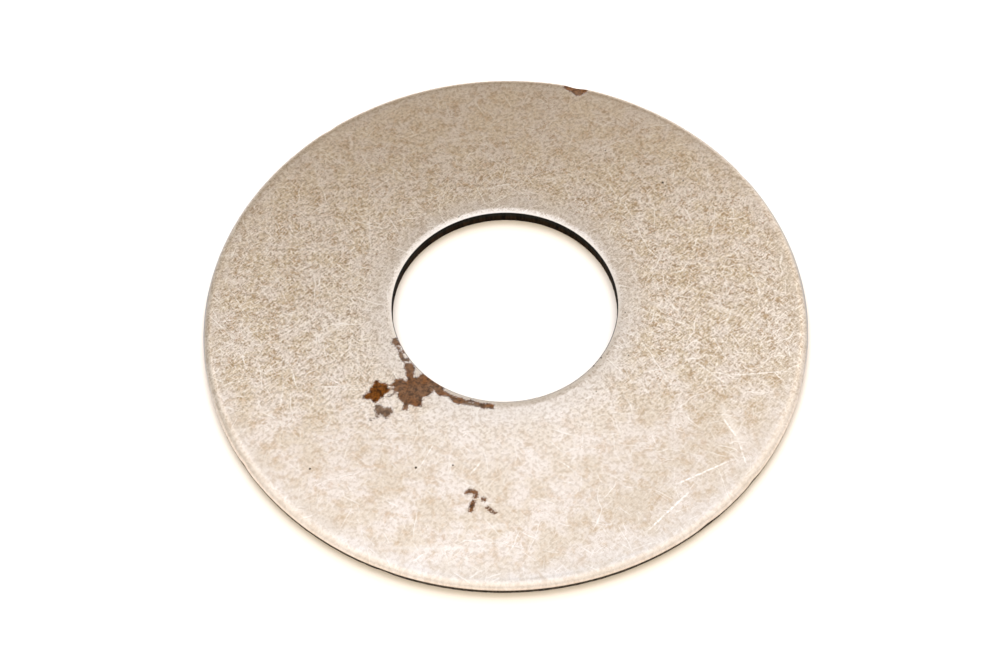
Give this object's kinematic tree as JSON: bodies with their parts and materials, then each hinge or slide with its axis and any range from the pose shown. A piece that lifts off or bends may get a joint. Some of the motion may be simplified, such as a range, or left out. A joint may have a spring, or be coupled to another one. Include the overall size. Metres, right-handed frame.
{
  "type": "flat washer",
  "caption": "Wide, thin flat washer stamped from worn steel, with a round bolt hole, rolled-over top edges and light rust.",
  "frame": {"origin": "centre of the bottom face, on the hole's axis, where the washer rests", "axes": "+Z is the hole's axis, up through the rolled-over top face; the washer is round about Z, so X and Y are free"},
  "size_m": [0.0508, 0.0508, 0.0012],
  "materials": {
    "worn_steel": "tumbled and scratched plain steel with a warm tarnish, dark sheared walls and a few flat brown rust patches"
  },
  "bodies": {
    "root": {"washer": "worn_steel"}
  },
  "joints": []
}
